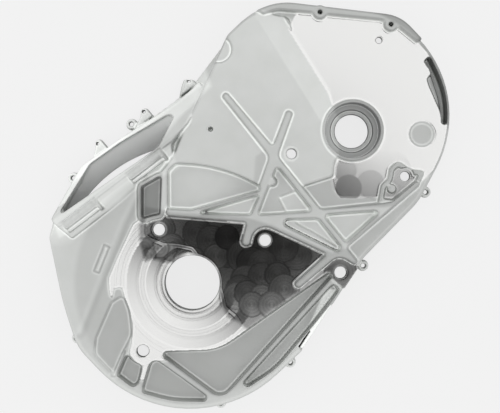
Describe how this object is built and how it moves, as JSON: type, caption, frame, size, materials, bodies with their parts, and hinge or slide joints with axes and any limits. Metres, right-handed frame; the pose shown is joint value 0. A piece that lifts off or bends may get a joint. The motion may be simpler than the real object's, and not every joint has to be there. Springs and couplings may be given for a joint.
{
  "type": "clutch cover",
  "caption": "Cast aluminium inner clutch cover: an open tub with a crank bore, a bearing boss, crossing ribs, deep pockets and a cooling duct.",
  "frame": {"origin": "centre of the crank bore on the machined engine face", "axes": "+Z out of the engine face, towards the engine; +X from the crank bore to the driven bore"},
  "size_m": [0.5323, 0.3513, 0.062],
  "materials": {
    "cast_aluminium": "satin as cast, with milled faces"
  },
  "bodies": {
    "root": {"clutch_cover": "cast_aluminium"}
  },
  "joints": []
}
